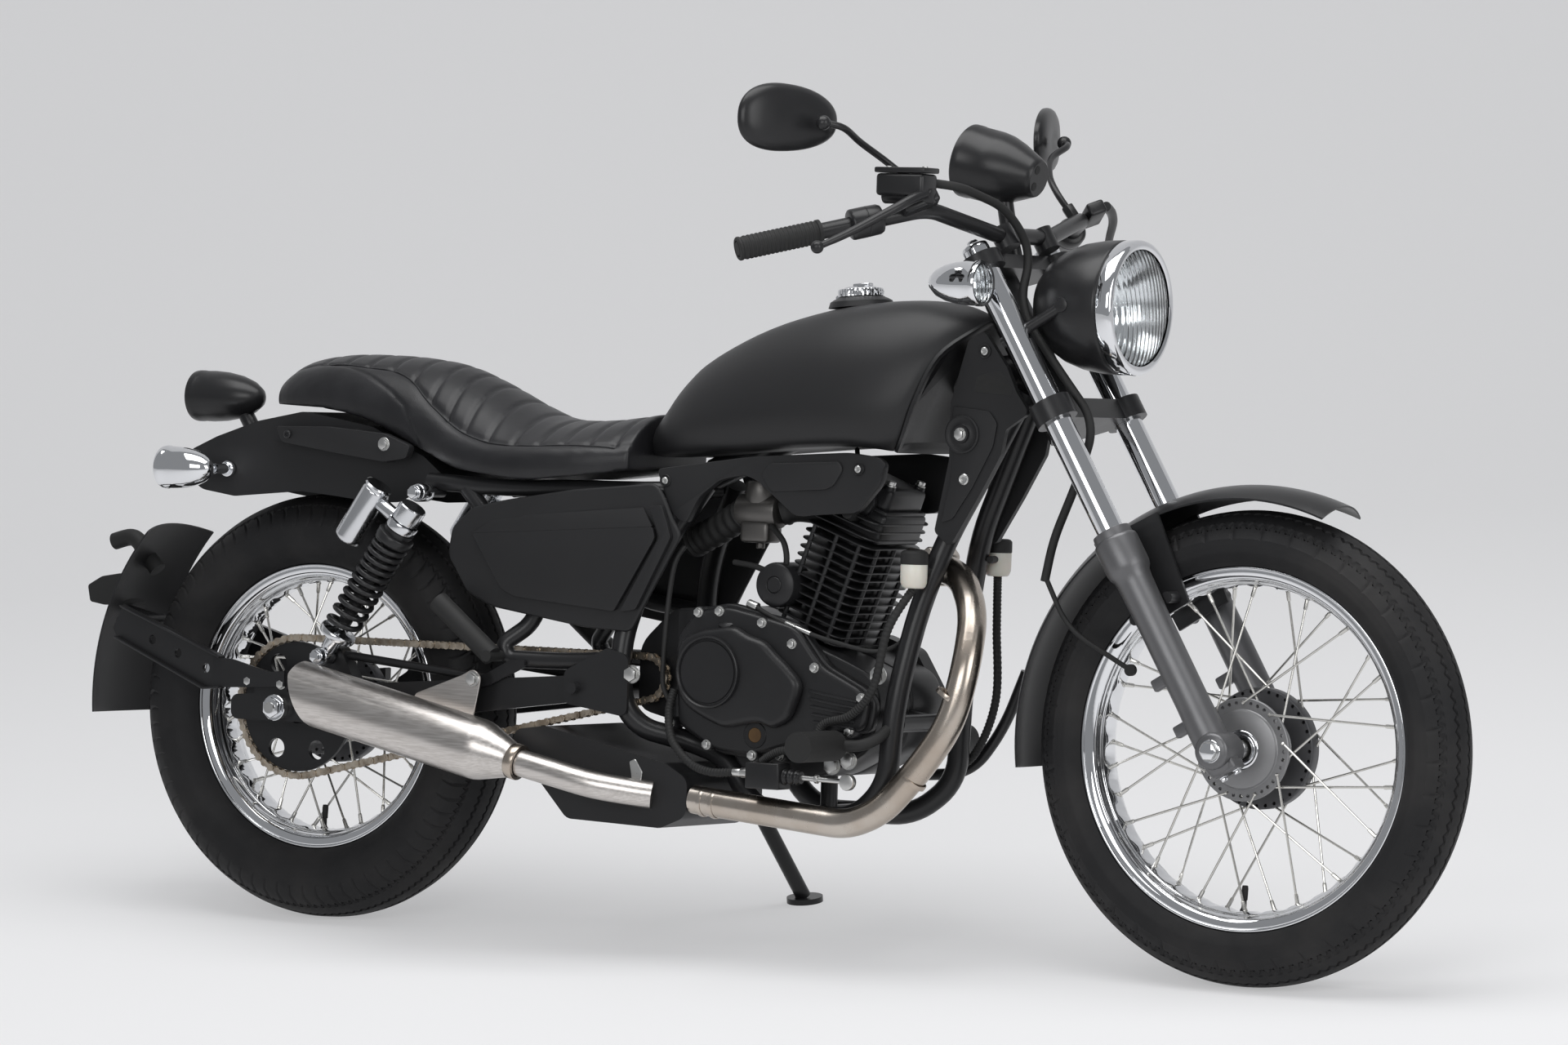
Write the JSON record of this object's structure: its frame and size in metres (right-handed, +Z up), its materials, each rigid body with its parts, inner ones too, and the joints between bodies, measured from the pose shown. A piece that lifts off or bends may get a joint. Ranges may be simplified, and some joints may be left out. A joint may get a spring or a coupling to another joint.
{
  "type": "cruiser motorcycle",
  "caption": "Single-cylinder cruiser motorcycle on its side stand, matt black, with wire wheels, twin shocks, open engine, steering, turning wheels, folding stand and flip-up fuel cap.",
  "frame": {"origin": "centre of the bounding box on the ground", "axes": "+X forward, +Y towards the rider's left, +Z up; the machine leans 10 degrees to the left on its side stand"},
  "size_m": [2.205, 0.8698, 1.2337],
  "materials": {
    "satin_black": "satin black paint, slightly rough",
    "matte_black_paint": "matt black paint",
    "black_plastic": "grained matt black plastic",
    "black_leather": "black seat covering with sewn channels",
    "black_rubber": "matt black rubber",
    "tyre_rubber": "black tyre rubber",
    "chrome": "polished chrome",
    "polished_aluminium": "polished aluminium",
    "grey_casting": "blasted grey fork leg",
    "brushed_silencer": "brushed stainless steel",
    "header_steel": "heat-browned stainless steel",
    "zinc_steel": "zinc-plated steel",
    "chain_steel": "oiled chain steel",
    "engine_black": "satin black engine enamel",
    "lamp_glass": "clear lamp glass"
  },
  "bodies": {
    "chassis": {"frame": "satin_black", "swingarm": "satin_black", "rear_axle": "zinc_steel", "shock_absorbers": "polished_aluminium", "shock_springs": "satin_black", "engine_crankcase": "engine_black", "clutch_cover": "engine_black", "generator_cover": "engine_black", "engine_cylinder": "engine_black", "engine_head": "engine_black", "carburettor": "engine_black", "exhaust_header": "header_steel", "exhaust_box": "matte_black_paint", "silencer": "brushed_silencer", "fuel_tank": "matte_black_paint", "seat": "black_leather", "side_covers": "black_plastic", "tank_trims": "black_plastic", "neck_covers": "black_plastic", "fender_rails": "satin_black", "rear_fender": "matte_black_paint", "tail_lamp": "satin_black", "rear_indicators": "chrome", "plate_hugger": "black_plastic", "hugger_arms": "satin_black", "rider_pegs": "black_rubber", "passenger_pegs": "black_rubber", "gear_lever": "satin_black", "brake_reservoirs": "black_plastic", "chain": "chain_steel", "stand_bracket": "satin_black"},
    "steering": {"front_fender": "satin_black", "fork_sliders": "grey_casting", "fork_tubes": "chrome", "lower_yoke": "satin_black", "upper_yoke": "satin_black", "front_axle": "zinc_steel", "handlebar": "satin_black", "grips": "black_rubber", "bar_clamps": "satin_black", "bar_controls": "black_plastic", "mirrors": "black_plastic", "headlamp_shell": "satin_black", "headlamp_lens": "lamp_glass", "speedometer": "satin_black", "front_indicators": "chrome", "fork_hose": "black_rubber"},
    "front_wheel": {"front_rim": "chrome", "front_tyre": "tyre_rubber", "front_hub": "polished_aluminium"},
    "rear_wheel": {"rear_rim": "chrome", "rear_tyre": "tyre_rubber", "rear_hub": "polished_aluminium", "rear_sprocket": "satin_black"},
    "side_stand": {"side_stand": "satin_black"},
    "fuel_lid": {"fuel_lid": "chrome"}
  },
  "joints": [
    {"name": "steering_head", "type": "hinge", "parent": "chassis", "child": "steering", "pos_m": [0.42212, -0.04039, 0.82714], "axis": [-0.5105, 0.1493, 0.8468], "range_deg": [-38, 38]},
    {"name": "front_wheel_spin", "type": "hinge", "parent": "steering", "child": "front_wheel", "pos_m": [0.78246, -0.13046, 0.31629], "axis": [0, 0.9848, -0.1736], "continuous": true},
    {"name": "rear_wheel_spin", "type": "hinge", "parent": "chassis", "child": "rear_wheel", "pos_m": [-0.71754, -0.13307, 0.30152], "axis": [0, 0.9848, -0.1736], "continuous": true},
    {"name": "side_stand_fold", "type": "hinge", "parent": "chassis", "child": "side_stand", "pos_m": [-0.12754, -0.01743, 0.23747], "axis": [-0.06, 0.9135, 0.4023], "range_deg": [0, 95]},
    {"name": "fuel_lid_hinge", "type": "hinge", "parent": "chassis", "child": "fuel_lid", "pos_m": [0.11758, -0.02809, 0.89685], "axis": [0, -0.9848, 0.1736], "range_deg": [0, 85]}
  ]
}
